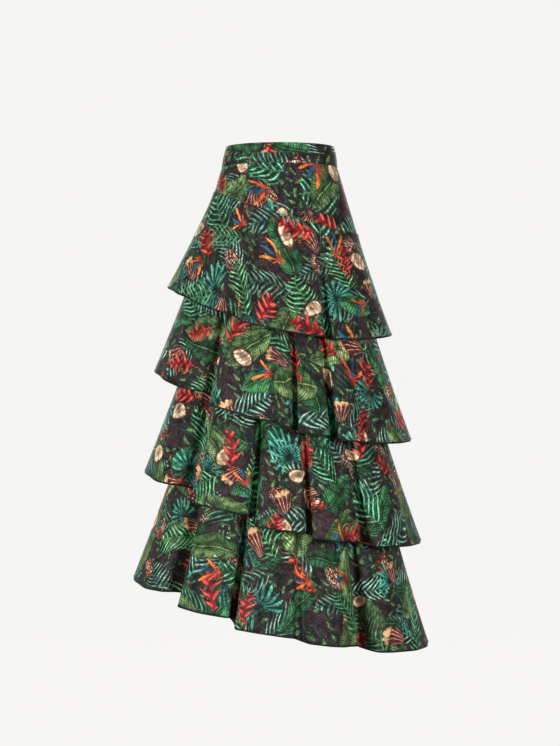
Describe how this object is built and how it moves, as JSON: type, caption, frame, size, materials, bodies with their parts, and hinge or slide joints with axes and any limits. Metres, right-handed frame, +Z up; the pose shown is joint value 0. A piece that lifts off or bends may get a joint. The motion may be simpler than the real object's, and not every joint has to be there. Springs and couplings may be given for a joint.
{
  "type": "tiered maxi skirt",
  "caption": "Worn-shape maxi skirt: flat waistband, smooth hip yoke, slanted fluted flounces and a side zip with a pull tab.",
  "frame": {"origin": "middle of the waist opening, half way up the waistband", "axes": "+Z up along the skirt towards the waist; the front of the skirt faces -Y; +X is the wearer's left side, where the zip is and where the hems hang lower"},
  "size_m": [0.641, 0.5511, 1.0815],
  "materials": {
    "leaf_print_cloth": "matte printed woven cloth",
    "leaf_print_band": "matte printed woven cloth",
    "black_painted_metal": "semi-gloss"
  },
  "bodies": {
    "skirt": {"waistband_front": "leaf_print_band", "waistband_back": "leaf_print_band", "skirt_front": "leaf_print_cloth", "skirt_back": "leaf_print_cloth", "tier_1_front": "leaf_print_cloth", "tier_1_back": "leaf_print_cloth", "tier_2_front": "leaf_print_cloth", "tier_2_back": "leaf_print_cloth", "tier_3_front": "leaf_print_cloth", "tier_3_back": "leaf_print_cloth", "tier_4_front": "leaf_print_cloth", "tier_4_back": "leaf_print_cloth", "zip_slider": "black_painted_metal"},
    "pull": {"zip_pull": "black_painted_metal"}
  },
  "joints": [
    {"name": "pull_swing", "type": "hinge", "parent": "skirt", "child": "pull", "pos_m": [0.12058, 0.01695, 0.01161], "axis": [0.2295, -0.9733, 0.01], "range_deg": [0, 165]}
  ]
}
